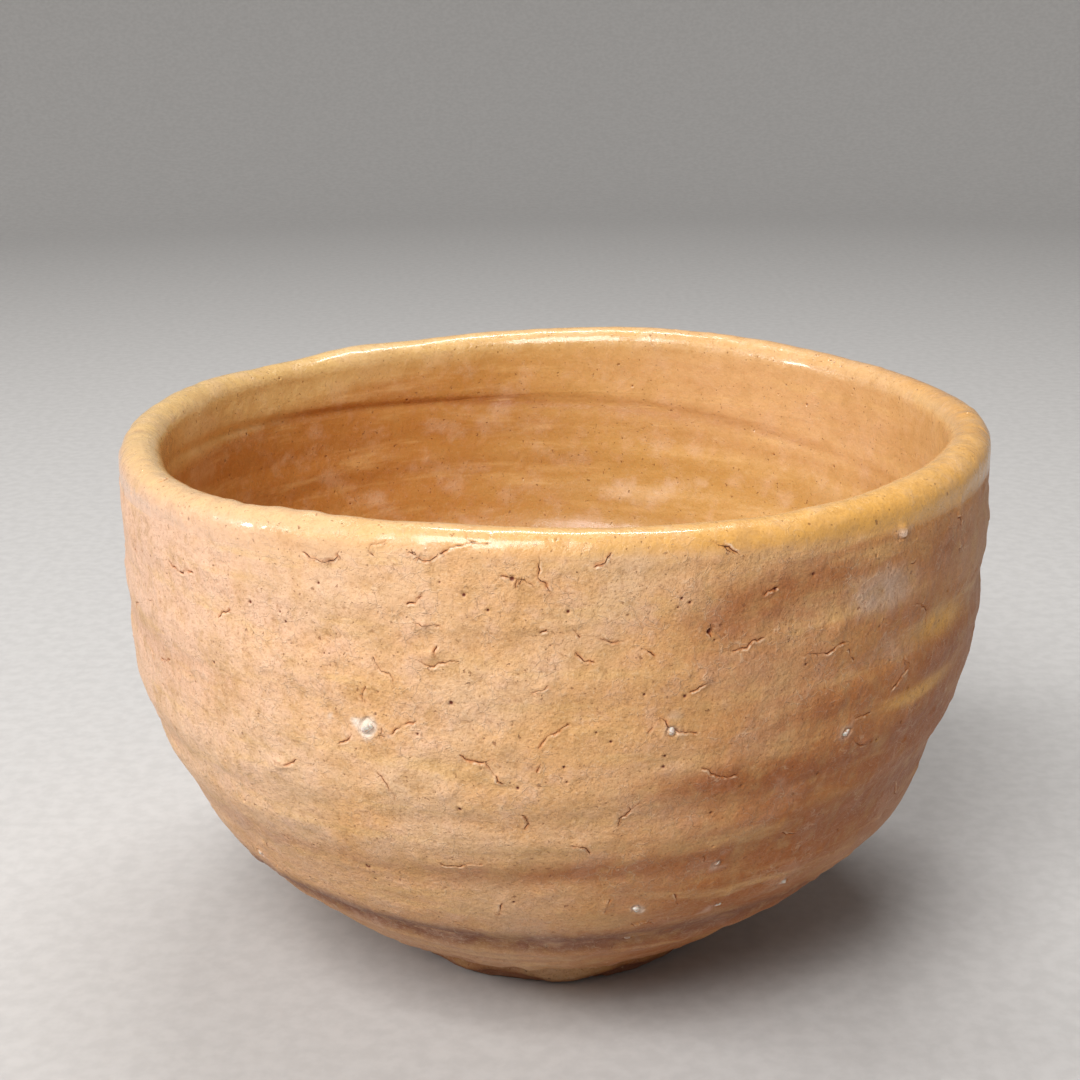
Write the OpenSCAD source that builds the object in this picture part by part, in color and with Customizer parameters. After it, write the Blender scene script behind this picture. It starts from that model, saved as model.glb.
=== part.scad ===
// Hand-thrown stoneware tea bowl on a trimmed ring foot, glazed inside and out.
// The origin is the centre of the foot on the table, and +Z is up.
// A turn angle runs round the bowl from the front (-Y) towards the right side (+X).

/* [Bowl] */
// Width of the finished bowl at its widest level
bowl_w = 120; // [106:1:136]
// Height of the mean lip line above the table
bowl_h = 76.6; // [70:0.2:90]
// Height of the widest level, where the round belly becomes the upright wall
belly_h = 55.8; // [52:0.2:57]
// Depth from the widest level to the bottom point of the full belly curve
belly_drop = 57.3; // [56:0.1:60]
// Thickness of the finished wall at the widest level, glaze included
wall_t = 5.6; // [4.6:0.1:8]
// Thickness of the finished floor over the foot well
floor_t = 7; // [5:0.5:10]

/* [Hand-made shape] */
// Half the height difference between the low and high sides of the lip
lip_tilt = 0.55; // [0:0.05:1.5]
// Half height of the two long waves in the lip
lip_wave = 0.65; // [0:0.05:1.5]
// Half height of the four short ripples in the lip
lip_ripple = 0.5; // [0:0.05:1]
// Change of radius that makes the plan slightly oval
oval = 0.95; // [0:0.05:2]
// Change of radius that gives the plan three soft corners
lobe = 0.8; // [0:0.05:1.5]
// Number of throwing rings between the foot and the lip
rings = 5; // [3:1:6]
// Half depth of a throwing ring
ring_depth = 0.3; // [0:0.05:0.5]

/* [Foot] */
// Outer width of the foot ring where it stands on the table
foot_w = 47.6; // [42:0.2:52]
// Height of the foot ring
foot_h = 6.4; // [5.4:0.1:8]
// Width of the foot ring's flat standing face
foot_face = 5.2; // [4:0.1:7]
// How far each side of the foot ring spreads between the table and the belly
foot_flare = 1.1; // [0.4:0.1:2]
// How far the underside of the floor spreads past the top of the foot ring
ledge_w = 1.2; // [0.8:0.1:2.5]
// Height that the underside gains between the foot ring and the start of the belly
undercut = 0.6; // [0.4:0.1:1.5]

/* [Glaze] */
// Thickness of the first glaze
glaze_t = 0.7; // [0.4:0.05:1]
// Extra thickness of the second, yellow glaze on the lip
dip_t = 0.3; // [0.1:0.05:0.5]
// Bare height left on the foot ring under the glaze
foot_bare = 1.6; // [1:0.1:3]

/* [Stones] */
// Width of a stone as a share of the surface facet that it sits on
stone_share = 0.55; // [0.3:0.05:0.8]
// Height that a stone stands proud of the glaze
stone_proud = 0.5; // [0.2:0.1:0.8]

/* [Hidden] */

// Segments round the bowl, and stations along each stretch of the section.
seg = 56;
belly_n = 15;
wall_n = 6;
lip_n = 6;
inside_n = 12;

// Directions of the lip's waves and of the plan's long axis and corners, as turn angles.
tilt_turn = 115;
wave_turn = -15;
oval_turn = 47;
lobe_turn = -19;

// Share of the outer ring depth that the inside shows.
inner_ring_share = 0.5;

half_w = bowl_w / 2;
lip_r = wall_t / 2;
ledge_r = foot_w / 2 + foot_flare + ledge_w;
belly_start = acos((belly_h - foot_h - undercut) / belly_drop);
inner_r = half_w - wall_t;
inner_drop = belly_h - foot_h - floor_t;

// The section is a list of stations [radius, height, normal radius, normal height, ring share].
// It runs from the ledge over the foot, up the outside, over the lip and down to the inner pole.
function belly_station(t, r, drop, side, share) =
    let (n = [drop * sin(t), -r * cos(t)])
    [r * sin(t), belly_h - drop * cos(t), side * n[0] / norm(n), side * n[1] / norm(n), share];

outside = [
    [ledge_r, foot_h, 1, 0, 0],
    for (i = [0 : belly_n])
        let (f = i / belly_n)
        belly_station(belly_start + (90 - belly_start) * f, half_w, belly_drop, 1, sin(150 * f)),
    for (i = [1 : wall_n])
        let (f = i / (wall_n + 1))
        [half_w, belly_h + (bowl_h - lip_r - belly_h) * f, 1, 0, sin(150 + 30 * f)]
];
lip = [
    for (i = [0 : lip_n])
        let (a = 180 * i / lip_n)
        [half_w - lip_r + lip_r * cos(a), bowl_h - lip_r + lip_r * sin(a), cos(a), sin(a), 0]
];
inside = [
    [inner_r, (belly_h + bowl_h - lip_r) / 2, -1, 0, inner_ring_share],
    for (i = [0 : inside_n - 1])
        let (f = i / inside_n)
        belly_station(90 * (1 - f), inner_r, inner_drop, -1, inner_ring_share * (1 - f)),
    [0, belly_h - inner_drop, 0, 1, 0]
];
section = concat(outside, lip, inside);
last = len(section) - 1;
lip_from = len(outside);
lip_to = lip_from + lip_n;

// The hand-made shape fades in from the foot, which is true and flat, to the lip.
function fade(z) = max(0, min(1, (z - foot_h) / (bowl_h - foot_h)));
function lift(turn) = lip_tilt * cos(turn - tilt_turn)
    + lip_wave * cos(2 * (turn - wave_turn))
    + lip_ripple * cos(4 * (turn - wave_turn));
function spread(turn) = oval * cos(2 * (turn - oval_turn)) + lobe * cos(3 * (turn - lobe_turn));
function ring(z, turn) = ring_depth * cos(360 * rings * fade(z) + turn);

// A point of the bowl at a station, a depth under the finished surface and a segment.
function spot(at, depth, j) =
    let (s = section[at], turn = 360 * (j % seg) / seg, f = fade(s[1]),
         sunk = depth + s[4] * (ring_depth - ring(s[1], turn)),
         r = s[0] - sunk * s[2] + spread(turn) * f,
         z = s[1] - sunk * s[3] + lift(turn) * f * f)
    [r * sin(turn), -r * cos(turn), z];

// Both faces of a contact carry the same diagonals, so that neighbours meet without overlap:
// each diagonal starts at the end with the lower key.
function key(c) = c[0] * 10 + c[1];
function cell(chain, k, n, j) =
    let (m = (k + 1) % n, i = (j + 1) % seg,
         a = k * seg + j, b = m * seg + j, c = m * seg + i, d = k * seg + i)
    key(chain[k]) < key(chain[m]) ? [[a, b, c], [a, c, d]] : [[a, b, d], [b, c, d]];

// A closed chain of [station, depth] pairs swept round the axis into a hollow ring.
module swept_ring(chain) {
    n = len(chain);
    polyhedron(
        [for (c = chain) for (j = [0 : seg - 1]) spot(c[0], c[1], j)],
        [for (k = [0 : n - 1]) for (j = [0 : seg - 1]) each cell(chain, k, n, j)]
    );
}

// An open chain swept round the axis, closed by a pole on the axis at each end.
module swept_bowl(chain, pole_a, pole_b) {
    n = len(chain);
    polyhedron(
        [
            for (c = chain) for (j = [0 : seg - 1]) spot(c[0], c[1], j),
            [0, 0, pole_a],
            [0, 0, pole_b]
        ],
        [
            for (k = [0 : n - 2]) for (j = [0 : seg - 1]) each cell(chain, k, n, j),
            for (j = [0 : seg - 1]) [n * seg, j, (j + 1) % seg],
            for (j = [0 : seg - 1]) [n * seg + 1, (n - 1) * seg + (j + 1) % seg, (n - 1) * seg + j]
        ]
    );
}

// Thrown clay: floor, wall and lip.
module clay_body() {
    color("peru")
        swept_bowl([for (i = [0 : last - 1]) [i, glaze_t]], foot_h, section[last][1] - glaze_t);
}

// The section of the foot ring's outer face at a height, bare clay or with glaze on it.
function foot_r(z, coat) = foot_w / 2 + foot_flare * z / foot_h + coat;

// Ring foot, a separate band of clay under the floor, with a softened standing edge.
module foot_ring() {
    soft = 0.5;
    well_r = foot_w / 2 - foot_face;
    color("sienna")
        rotate_extrude($fn = 96)
            polygon([
                [well_r + soft, 0],
                [foot_w / 2 - soft, 0],
                [foot_r(soft, 0), soft],
                [foot_r(foot_h, 0), foot_h],
                [well_r - foot_flare, foot_h],
                [well_r, soft]
            ]);
}

// Glaze on the outside, from the ledge over the foot to the start of the lip.
module outer_glaze() {
    color("sandybrown")
        swept_ring([
            for (i = [0 : lip_from]) [i, 0],
            for (i = [lip_from : -1 : 0]) [i, glaze_t]
        ]);
}

// Glaze lining of the inside, from the end of the lip to the middle of the floor.
module inner_glaze() {
    pole = section[last][1];
    color("darkorange")
        swept_bowl(
            [
                for (i = [last - 1 : -1 : lip_to]) [i, glaze_t],
                for (i = [lip_to : last - 1]) [i, 0]
            ],
            pole - glaze_t,
            pole
        );
}

// Second glaze over the lip, lapped over the edges of the outer and inner glaze.
module lip_glaze() {
    color("goldenrod")
        swept_ring([
            [lip_from - 1, 0],
            for (i = [lip_from : lip_to]) [i, -dip_t],
            [lip_to + 1, 0],
            [lip_to, 0],
            for (i = [lip_to : -1 : lip_from]) [i, glaze_t],
            [lip_from, 0]
        ]);
}

// Glaze that ran down the outer face of the foot ring and stopped above the table.
module foot_glaze() {
    coat = glaze_t * 0.85;
    color("burlywood")
        rotate_extrude($fn = 96)
            polygon([
                [foot_r(foot_bare, 0), foot_bare],
                [foot_r(foot_bare, coat / 2), foot_bare + 0.1],
                [foot_r(foot_bare + coat, coat), foot_bare + coat],
                [foot_r(foot_h, coat), foot_h],
                [foot_r(foot_h, 0), foot_h]
            ]);
}

// One stone that sits on the facet of the outer surface at a station and a segment.
module stone(at, j) {
    corners = [spot(at, 0, j), spot(at + 1, 0, j), spot(at + 1, 0, j + 1)];
    mid = (corners[0] + corners[1] + corners[2]) / 3;
    out = cross(corners[2] - corners[0], corners[1] - corners[0]);
    top = mid + out / norm(out) * stone_proud;
    polyhedron(
        [
            for (c = corners) mid + (c - mid) * stone_share,
            for (c = corners) top + (c - mid) * stone_share / 2
        ],
        [[2, 1, 0], [3, 4, 5], [0, 1, 4], [0, 4, 3], [1, 2, 5], [1, 5, 4], [2, 0, 3], [2, 3, 5]]
    );
}

// Pale stones of the clay that burst through the glaze, as [station, segment].
stones = [
    [15, 52], [15, 2], [7, 1], [9, 3], [7, 5], [5, 1], [14, 5], [17, 54], [8, 48], [13, 43],
    [6, 38], [11, 33], [16, 29], [7, 24], [12, 20], [9, 14], [17, 10]
];
module feldspar_grains() {
    color("whitesmoke")
        for (s = stones) stone(s[0], s[1]);
}

clay_body();
foot_ring();
outer_glaze();
inner_glaze();
lip_glaze();
foot_glaze();
feldspar_grains();
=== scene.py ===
"""Looks of a hand-thrown stoneware tea bowl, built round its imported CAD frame.

Lengths are in millimetres until a mesh is made, and angles are in degrees. A turn runs round the
bowl from the front (-Y) towards the right side (+X). A run is the distance along the section, from
the ledge over the foot, up the outside, over the lip and down to the middle of the floor.
"""

import bmesh
import bpy
import numpy as np
from mathutils import Euler, Matrix, Vector


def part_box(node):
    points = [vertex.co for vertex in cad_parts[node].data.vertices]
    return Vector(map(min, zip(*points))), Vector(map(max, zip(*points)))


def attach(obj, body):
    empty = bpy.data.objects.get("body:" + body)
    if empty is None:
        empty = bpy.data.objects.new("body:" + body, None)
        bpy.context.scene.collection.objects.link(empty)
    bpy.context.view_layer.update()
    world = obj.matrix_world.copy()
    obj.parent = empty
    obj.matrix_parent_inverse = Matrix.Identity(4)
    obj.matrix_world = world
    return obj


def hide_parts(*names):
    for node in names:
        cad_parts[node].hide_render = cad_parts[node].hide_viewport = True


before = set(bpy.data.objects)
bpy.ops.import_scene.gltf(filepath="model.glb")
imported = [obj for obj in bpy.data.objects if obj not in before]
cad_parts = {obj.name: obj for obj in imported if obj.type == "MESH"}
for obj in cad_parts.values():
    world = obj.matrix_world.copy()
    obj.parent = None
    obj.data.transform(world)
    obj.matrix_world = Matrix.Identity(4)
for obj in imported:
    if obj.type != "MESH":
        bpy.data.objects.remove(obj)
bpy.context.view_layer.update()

MM = 0.001
SEED = 11


def box_of(node):
    """The lowest and highest corners of a CAD node, in millimetres."""
    low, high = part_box(node)
    return np.array(low) / MM, np.array(high) / MM


# ---------------------------------------------------------------- sizes, as in the CAD

foot_high = box_of("foot_ring")[1]
FOOT_H = foot_high[2]
FOOT_TOP_R = foot_high[0]
FOOT_FLARE = 1.1
FOOT_FACE = 5.2
FOOT_BARE = box_of("foot_glaze")[0][2]
GLAZE = 0.7
FLOOR_Z = box_of("inner_glaze")[0][2] + GLAZE
HALF_W = 60.0
WALL = 5.6
LIP_Z = 76.6
BELLY_Z = 55.8
BELLY_DROP = 57.3
LEDGE_R = FOOT_TOP_R + 1.2
UNDERCUT = 0.6

# ---------------------------------------------------------------- sizes of the looks

# Rise of the lip's second glaze over the first, and depth of the hidden back of a glaze layer.
DIP = 0.14
BACK = 0.65
# A crack's depth and half width, how far it bends the surface, and how far it is looked for.
CRACK_DEPTH = 0.22
CRACK_HALF = 0.08
CRACK_BAND = 0.75
CRACK_REACH = 1.5
HOLE_DEPTH = 0.24
# How many smaller cells a cell near a crack, a hole or a stone is split into, along each side.
SPLIT = 4
# A narrow row of faces along each border of a skin keeps the border from bending the shading.
BORDER = 0.03


def cos(angle):
    return np.cos(np.radians(angle))


def sin(angle):
    return np.sin(np.radians(angle))


def smooth(start, end, x):
    """Rises softly from 0 at start to 1 at end."""
    t = np.clip((x - start) / (end - start), 0, 1)
    return t * t * (3 - 2 * t)


def hump(x, middle, half):
    """A soft hump of height 1 round its middle."""
    return np.exp(-(((x - middle) / half) ** 2))


def turned(turn, middle):
    """The angle from middle to turn, between -180 and 180."""
    return (turn - middle + 180) % 360 - 180


def towards(turn, middle, half):
    """A soft hump of height 1 round a turn."""
    return hump(turned(turn, middle), 0, half)


def around(turn, radius, height):
    """Points, or directions, at a turn, a distance from the axis and a height."""
    return np.stack([radius * sin(turn), -radius * cos(turn), height], 1)


# ---------------------------------------------------------------- seeded noise

LATTICE = 48
lattice = np.random.default_rng(SEED).uniform(-1, 1, (LATTICE, LATTICE, LATTICE))


def noise(points, size, offset=0.0):
    """Smooth noise between -1 and 1 whose lumps are about size across.

    Each call has an offset of its own, which keeps its pattern apart from the others.
    """
    q = points / size + offset * np.array([3.7, 1.9, 2.3])
    cell = np.floor(q).astype(int)
    f = q - cell
    f = f * f * (3 - 2 * f)
    total = np.zeros(len(points))
    for corner in range(8):
        bits = np.array([corner & 1, corner >> 1 & 1, corner >> 2 & 1])
        weight = np.where(bits, f, 1 - f).prod(1)
        i, j, k = ((cell + bits) % LATTICE).T
        total += weight * lattice[i, j, k]
    return total


def round_noise(turn, waves, offset=0.0):
    """Noise along the turn alone, with about the given number of waves round the bowl."""
    size = 6.28 / waves
    ring = np.stack([sin(turn), cos(turn), np.full_like(turn, offset)], 1)
    return noise(ring, size, offset)


# ---------------------------------------------------------------- the bowl's section

def section_line():
    """Radius and height of the finished section, densely sampled from the ledge to the pole."""
    start = np.degrees(np.arccos((BELLY_Z - FOOT_H - UNDERCUT) / BELLY_DROP))
    belly = np.linspace(start, 90, 400)
    floor = np.linspace(90, 0, 400)
    over = np.linspace(0, 180, 120)
    lip_r = WALL / 2
    inner_r = HALF_W - WALL
    lip_z = LIP_Z - lip_r
    first = [HALF_W * sin(start), FOOT_H + UNDERCUT]
    r = [np.linspace(LEDGE_R, first[0], 40), HALF_W * sin(belly)]
    z = [np.linspace(FOOT_H, first[1], 40), BELLY_Z - BELLY_DROP * cos(belly)]
    r += [np.full(80, HALF_W), HALF_W - lip_r + lip_r * cos(over)]
    z += [np.linspace(BELLY_Z, lip_z, 80), lip_z + lip_r * sin(over)]
    r += [np.full(80, inner_r), inner_r * sin(floor)]
    z += [np.linspace(lip_z, BELLY_Z, 80), BELLY_Z - (BELLY_Z - FLOOR_Z) * cos(floor)]
    r = np.concatenate(r)
    z = np.concatenate(z)
    fresh = np.hypot(np.diff(r, prepend=-1), np.diff(z, prepend=-1)) > 1e-6
    return r[fresh], z[fresh]


line_r, line_z = section_line()
line_run = np.concatenate([[0], np.cumsum(np.hypot(np.diff(line_r), np.diff(line_z)))])
slope_r = np.gradient(line_r, line_run)
slope_z = np.gradient(line_z, line_run)
END = line_run[-1]
top = int(np.argmax(line_z))
LIP_RUN = line_run[top]


def section(run):
    """Radius, height and outward normal of the section at a run."""
    return [np.interp(run, line_run, values) for values in (line_r, line_z, slope_z, -slope_r)]


def run_at(height, inside=False):
    """The run at which the outside, or the inside, passes a height."""
    if inside:
        return np.interp(-height, -line_z[top:], line_run[top:])
    return np.interp(height, line_z[:top + 1], line_run[:top + 1])


def fade(z):
    return np.clip((z - FOOT_H) / (LIP_Z - FOOT_H), 0, 1)


def lift(turn):
    """The lip's rise over its mean height."""
    return 0.55 * cos(turn - 115) + 0.65 * cos(2 * (turn + 15)) + 0.5 * cos(4 * (turn + 15))


def spread(turn):
    """The plan's oval and its three soft corners."""
    return 0.95 * cos(2 * (turn - 47)) + 0.8 * cos(3 * (turn + 19))


def place(turn, run, out):
    """Points of the bowl at a turn and a run, raised by out."""
    r, z, nr, nz = section(run)
    f = fade(z)
    radius = r + out * nr + spread(turn) * f
    height = z + out * nz + lift(turn) * f * f
    return around(turn, radius, height)


def normal_at(turn, run):
    _, _, nr, nz = section(run)
    return around(turn, nr, nz)


# ---------------------------------------------------------------- the two edges of the lip glaze

# Where the lip glaze ran a little lower and pooled, at the front left.
WET_TURN = -33


def lap_out(turn):
    """The run at which the lip's second glaze starts on the outside."""
    height = 73.7 - 2.1 * sin(turn) ** 2 - 1.6 * towards(turn, WET_TURN, 12)
    height += 0.45 * round_noise(turn, 9, 1) + 0.2 * round_noise(turn, 40, 2)
    return run_at(height)


def lap_in(turn):
    """The run at which it ends on the inside."""
    height = 66.6 + 0.9 * round_noise(turn, 7, 3) + 0.25 * round_noise(turn, 36, 4)
    return run_at(height, inside=True)


# ---------------------------------------------------------------- hand-made relief

# Throwing rings on the outside: [height at the front, amount outward, half width].
RINGS = [
    [69.5, 0.10, 1.8], [64.5, -0.08, 1.6], [60.0, 0.16, 2.2], [55.5, -0.10, 1.9], [51.0, 0.08, 1.6],
    [45.5, 0.26, 2.4], [41.8, -0.13, 1.5], [38.4, 0.11, 1.5], [32.5, -0.24, 2.4], [25.0, 0.22, 3.0],
]
# Dents and swellings: [turn, height, amount outward, half turn, half height].
DENTS = [
    [-68, 55, -0.36, 24, 2.6], [-68, 45.5, 0.25, 26, 2.4], [-68, 31.5, -0.15, 24, 2.4],
    [-68, 16, -0.55, 40, 3.6], [-64, 70, 0.1, 25, 2], [66, 65, 0.5, 22, 3.5],
    [64, 53.5, 0.34, 20, 2.4], [64, 36.5, -0.6, 22, 3.4], [66, 24, 0.7, 26, 5], [66, 11, -0.9, 34, 4],
    [-30, 40, 0.2, 14, 6], [28, 48, -0.18, 10, 5], [150, 42, 0.5, 25, 9], [-140, 30, -0.4, 22, 7],
    [-120, 58, 0.35, 20, 5], [105, 60, -0.3, 18, 6], [-160, 62, -0.25, 15, 5],
]
# Small lumps over grains in the clay: [turn, height, rise, radius].
LUMPS = [
    [-12.8, 63.1, 0.42, 0.9], [33.8, 62.2, 0.4, 1.2], [-33.4, 45.6, 0.35, 0.9], [-44, 68.6, 0.3, 0.8],
    [-8.8, 49.0, 0.35, 0.9], [16.6, 59.2, 0.3, 0.9], [34.8, 53.0, 0.35, 1.0], [-26.6, 48.4, 0.25, 0.8],
    [-25.4, 73.6, 0.4, 1.0], [20.4, 47.3, 0.3, 0.7], [-35.2, 63.2, 0.25, 0.7], [-27.6, 60.6, 0.25, 0.7],
    [-0.9, 59.7, 0.25, 0.6], [18.0, 39.9, 0.2, 0.6], [6.9, 27.6, 0.25, 0.7], [43.9, 71.8, 0.4, 0.8],
    [3.0, 38.2, 0.2, 0.8], [28.6, 72.2, 0.25, 0.7], [17.6, 73.1, 0.25, 0.7], [-38.4, 53.4, 0.3, 0.9],
    [-13.6, 66.6, 0.28, 0.7], [52, 58, 0.3, 1.0], [57, 44, 0.35, 1.0], [-56, 61, 0.3, 0.9],
]
# Pinholes: [turn, height, radius].
HOLES = [
    [-9.2, 70.3, 0.26], [-6.7, 68.6, 0.2], [-11, 57.3, 0.3], [-36.2, 65.8, 0.24], [-31, 64.4, 0.2],
    [-31.7, 65.5, 0.18], [-43.5, 56.4, 0.22], [-26, 70, 0.2], [-10.7, 43.5, 0.28], [-25, 31.5, 0.42],
    [1.7, 68.4, 0.24], [14.4, 57.3, 0.24], [12.3, 50.0, 0.2], [12.2, 48.6, 0.22], [1.1, 49.6, 0.2],
    [6.2, 52.5, 0.2], [4.6, 53.8, 0.18], [-4.1, 72.3, 0.32], [17, 64.8, 0.34], [13.8, 69.2, 0.2],
    [14.7, 68.6, 0.2], [29.9, 69.6, 0.22], [-4.0, 46.8, 0.22], [24.9, 68.7, 0.22], [27.9, 72.6, 0.2],
]
# Stones that burst through the glaze: [turn, height, length, share that is bare].
STONES = [
    [-20.7, 53.2, 2.0, 1.0], [12.9, 53.2, 1.4, 0.3], [11.1, 26.3, 1.4, 0.6], [21.1, 32.4, 1.0, 0.3],
    [34.2, 25.7, 1.4, 0.5], [23.8, 24.4, 1.1, 0.3], [11.7, 18.3, 1.2, 0.3], [36.2, 48.1, 1.3, 0.25],
    [43.8, 71.6, 1.3, 0.6], [-48.0, 26.5, 1.2, 0.5], [-83, 47, 1.6, 0.7], [-110, 25, 1.4, 0.6],
    [-147, 41, 2.0, 0.9], [-171, 58, 1.5, 0.5], [156, 28, 1.7, 0.8], [131, 43, 1.3, 0.5],
    [93, 34, 1.5, 0.6],
]


def ring_drift(turn):
    """How far the throwing rings climb round the bowl, as a spiral with a wobble."""
    return 3.2 * sin(turn - 20) / 2 + 0.8 * round_noise(turn, 5, 5)


def low_groove(turn):
    """The height of the trimmed groove over the foot."""
    height = 17.7 + 2.9 * towards(turn, -48, 26) + 0.9 * towards(turn, 45, 25)
    return height + 0.5 * round_noise(turn, 6, 6) + 1.2 * towards(turn, 150, 60)


def inner_groove(turn):
    """The height of the groove under the lip on the inside, which climbs like a spiral."""
    return 65.0 + 0.055 * turned(turn, 177)


def outer_relief(turn, z, points):
    out = np.zeros(len(turn))
    level = z - ring_drift(turn)
    for index, (height, amount, half) in enumerate(RINGS):
        strength = 1 + 0.55 * round_noise(turn, 4, 10 + index)
        out += amount * strength * hump(level, height, half)
    for middle, height, amount, half_turn, half in DENTS:
        out += amount * towards(turn, middle, half_turn) * hump(z, height, half)
    groove = low_groove(turn)
    strength = 1 + 0.3 * round_noise(turn, 6, 30)
    out -= 0.65 * strength * hump(z, groove + 0.3, 1.35)
    out += 0.25 * hump(z, groove - 2.4, 1.0)
    out -= 0.3 * strength * hump(z, 12.2 + 0.5 * round_noise(turn, 4, 31), 0.45)
    lower = 1 - smooth(8, 13, z)
    out += lower * 0.3 * noise(points * [1, 1, 0.6], 2.8, 32)
    scallops = 0.5 + 0.5 * noise(points * [1, 1, 0.4], 2.1, 35)
    out += (1 - smooth(7.4, 9.6, z)) * (0.7 * scallops - 0.25)
    out -= 0.16 * (1 - smooth(50, 70, z)) * smooth(8, 16, z)
    # Fine wheel lines, which sand left in the throwing direction.
    streaks = points * [0.16, 0.16, 1.5]
    out += 0.04 * noise(streaks, 1.6, 33) + 0.05 * noise(streaks, 3.1, 34)
    return out


def inner_relief(turn, z, points):
    groove = inner_groove(turn)
    window = towards(turn, 188, 75)
    out = -0.5 * window * hump(z, groove, 0.8)
    out += 0.22 * window * smooth(-0.3, 0.7, z - groove) * (1 - smooth(2, 6, z - groove))
    for index, height in enumerate([58.0, 51.0, 44.0, 36.5, 29.0]):
        strength = 0.16 + 0.1 * round_noise(turn, 4, 40 + index)
        out += strength * sin(360 * (z - height) / 7.3 - turn) * hump(z, height, 4)
    # The spiral of the last finger stroke on the floor.
    radius = np.hypot(points[:, 0], points[:, 1])
    floor = smooth(1.5, 6, radius) * (1 - smooth(24, 36, radius))
    out += 0.32 * floor * sin(360 * radius / 6.5 - turn)
    out += 0.35 * noise(points, 14, 41) * smooth(0.5, 5, radius)
    return out


def lip_relief(turn, points):
    """Uneven swelling of the lip, with the small dip at the far left of the rim."""
    out = 0.22 * round_noise(turn, 14, 50) + 0.05 * round_noise(turn, 34, 51)
    out += 0.3 * towards(turn, -147, 6) - 0.3 * towards(turn, -136, 7)
    out += 0.17 * towards(turn, WET_TURN, 15) * noise(points, 2.2, 53)
    return out + 0.05 * noise(points, 2.6, 52)


def body_relief(turn, run):
    """Everything but cracks, holes and stones, raised over the CAD's plain section."""
    points = place(turn, run, 0)
    z = section(run)[1]
    inside = smooth(LIP_RUN - 2, LIP_RUN + 6, run)
    outside = 1 - smooth(LIP_RUN - 6, LIP_RUN + 2, run)
    over = smooth(LIP_RUN - 9, LIP_RUN - 2, run) * (1 - smooth(LIP_RUN + 2, LIP_RUN + 9, run))
    radius = np.hypot(points[:, 0], points[:, 1])
    calm = smooth(0.4, 4, radius) * smooth(0, 3, run)
    out = outside * outer_relief(turn, z, points) + inside * inner_relief(turn, z, points)
    out += over * lip_relief(turn, points)
    out += calm * (0.2 * noise(points, 17, 60) + 0.14 * noise(points, 7, 61))
    rough = calm * (1 - 0.6 * inside) * (1 - 0.55 * over)
    out += rough * (0.08 * noise(points, 3, 62) + 0.05 * noise(points, 1.5, 63))
    grit = noise(points, 2.1, 64)
    out += 0.16 * smooth(0.4, 0.8, grit) * rough
    out += over * 0.03 * noise(points, 2.1, 66)
    dipped = smooth(0, 4, run - lap_out(turn)) * smooth(0, 5, lap_in(turn) - run)
    return out + DIP * dipped


# ---------------------------------------------------------------- cracks, holes and stones

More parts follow.
